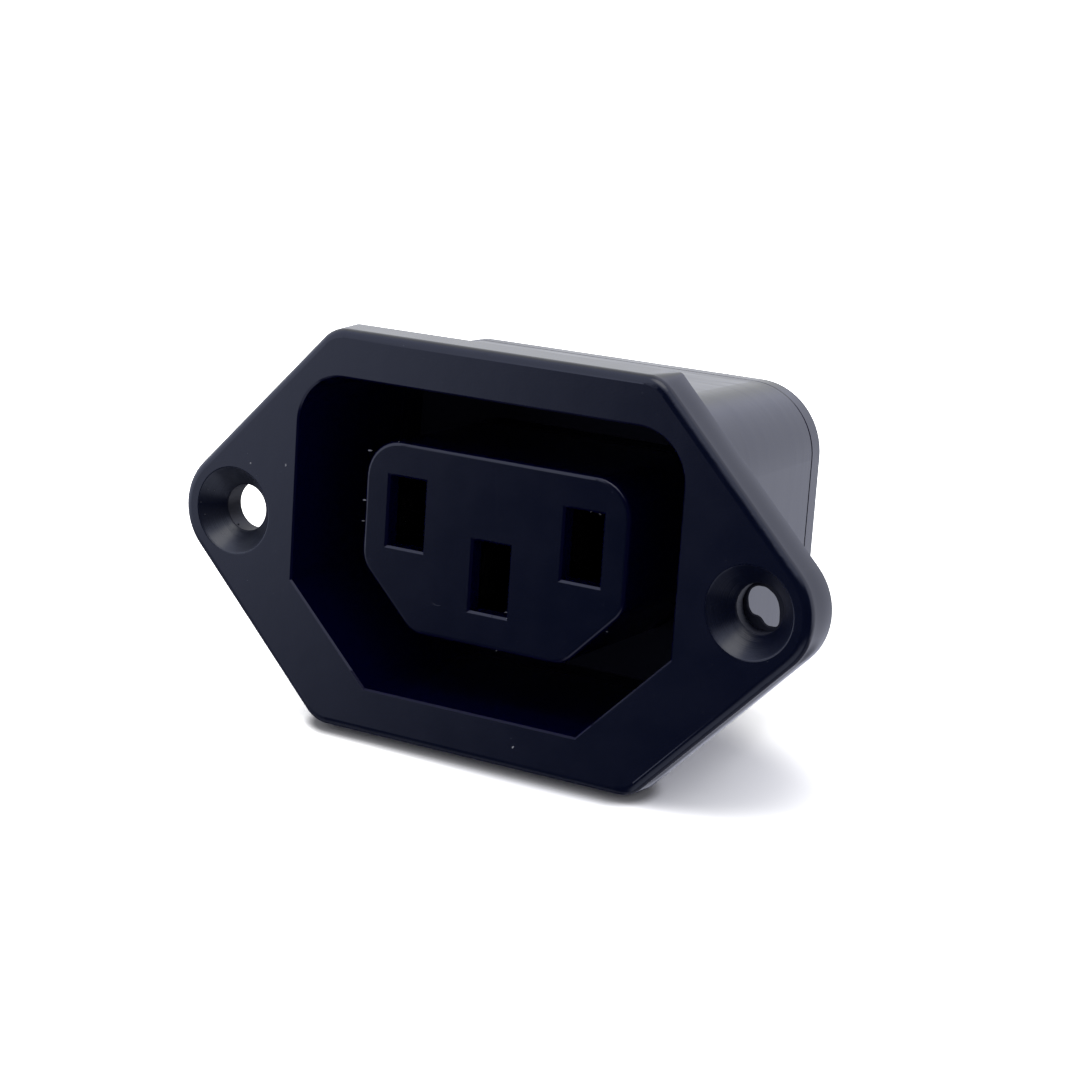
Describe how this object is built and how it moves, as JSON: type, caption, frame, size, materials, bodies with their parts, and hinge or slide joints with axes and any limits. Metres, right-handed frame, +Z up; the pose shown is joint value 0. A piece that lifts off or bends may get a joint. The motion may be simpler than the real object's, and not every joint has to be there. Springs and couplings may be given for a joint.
{
  "type": "panel mount power outlet",
  "caption": "Screw-mounted three-pin appliance power outlet with a hexagonal flange, a keyed recess round a slotted tongue, and rear push-on tabs.",
  "frame": {"origin": "midway between the two screw holes, on the flange's rear face, which seats on the panel", "axes": "+Z up with the keyed side of the recess down, the recess faces -Y, +X to the right seen from the front"},
  "size_m": [0.0484, 0.0271, 0.0276],
  "materials": {
    "housing_plastic": "satin moulded",
    "cover_plastic": "satin moulded",
    "contact_brass": "rolled sheet"
  },
  "bodies": {
    "root": {"housing": "housing_plastic", "rear_cover": "cover_plastic", "line_contact": "contact_brass", "neutral_contact": "contact_brass", "earth_contact": "contact_brass"}
  },
  "joints": []
}
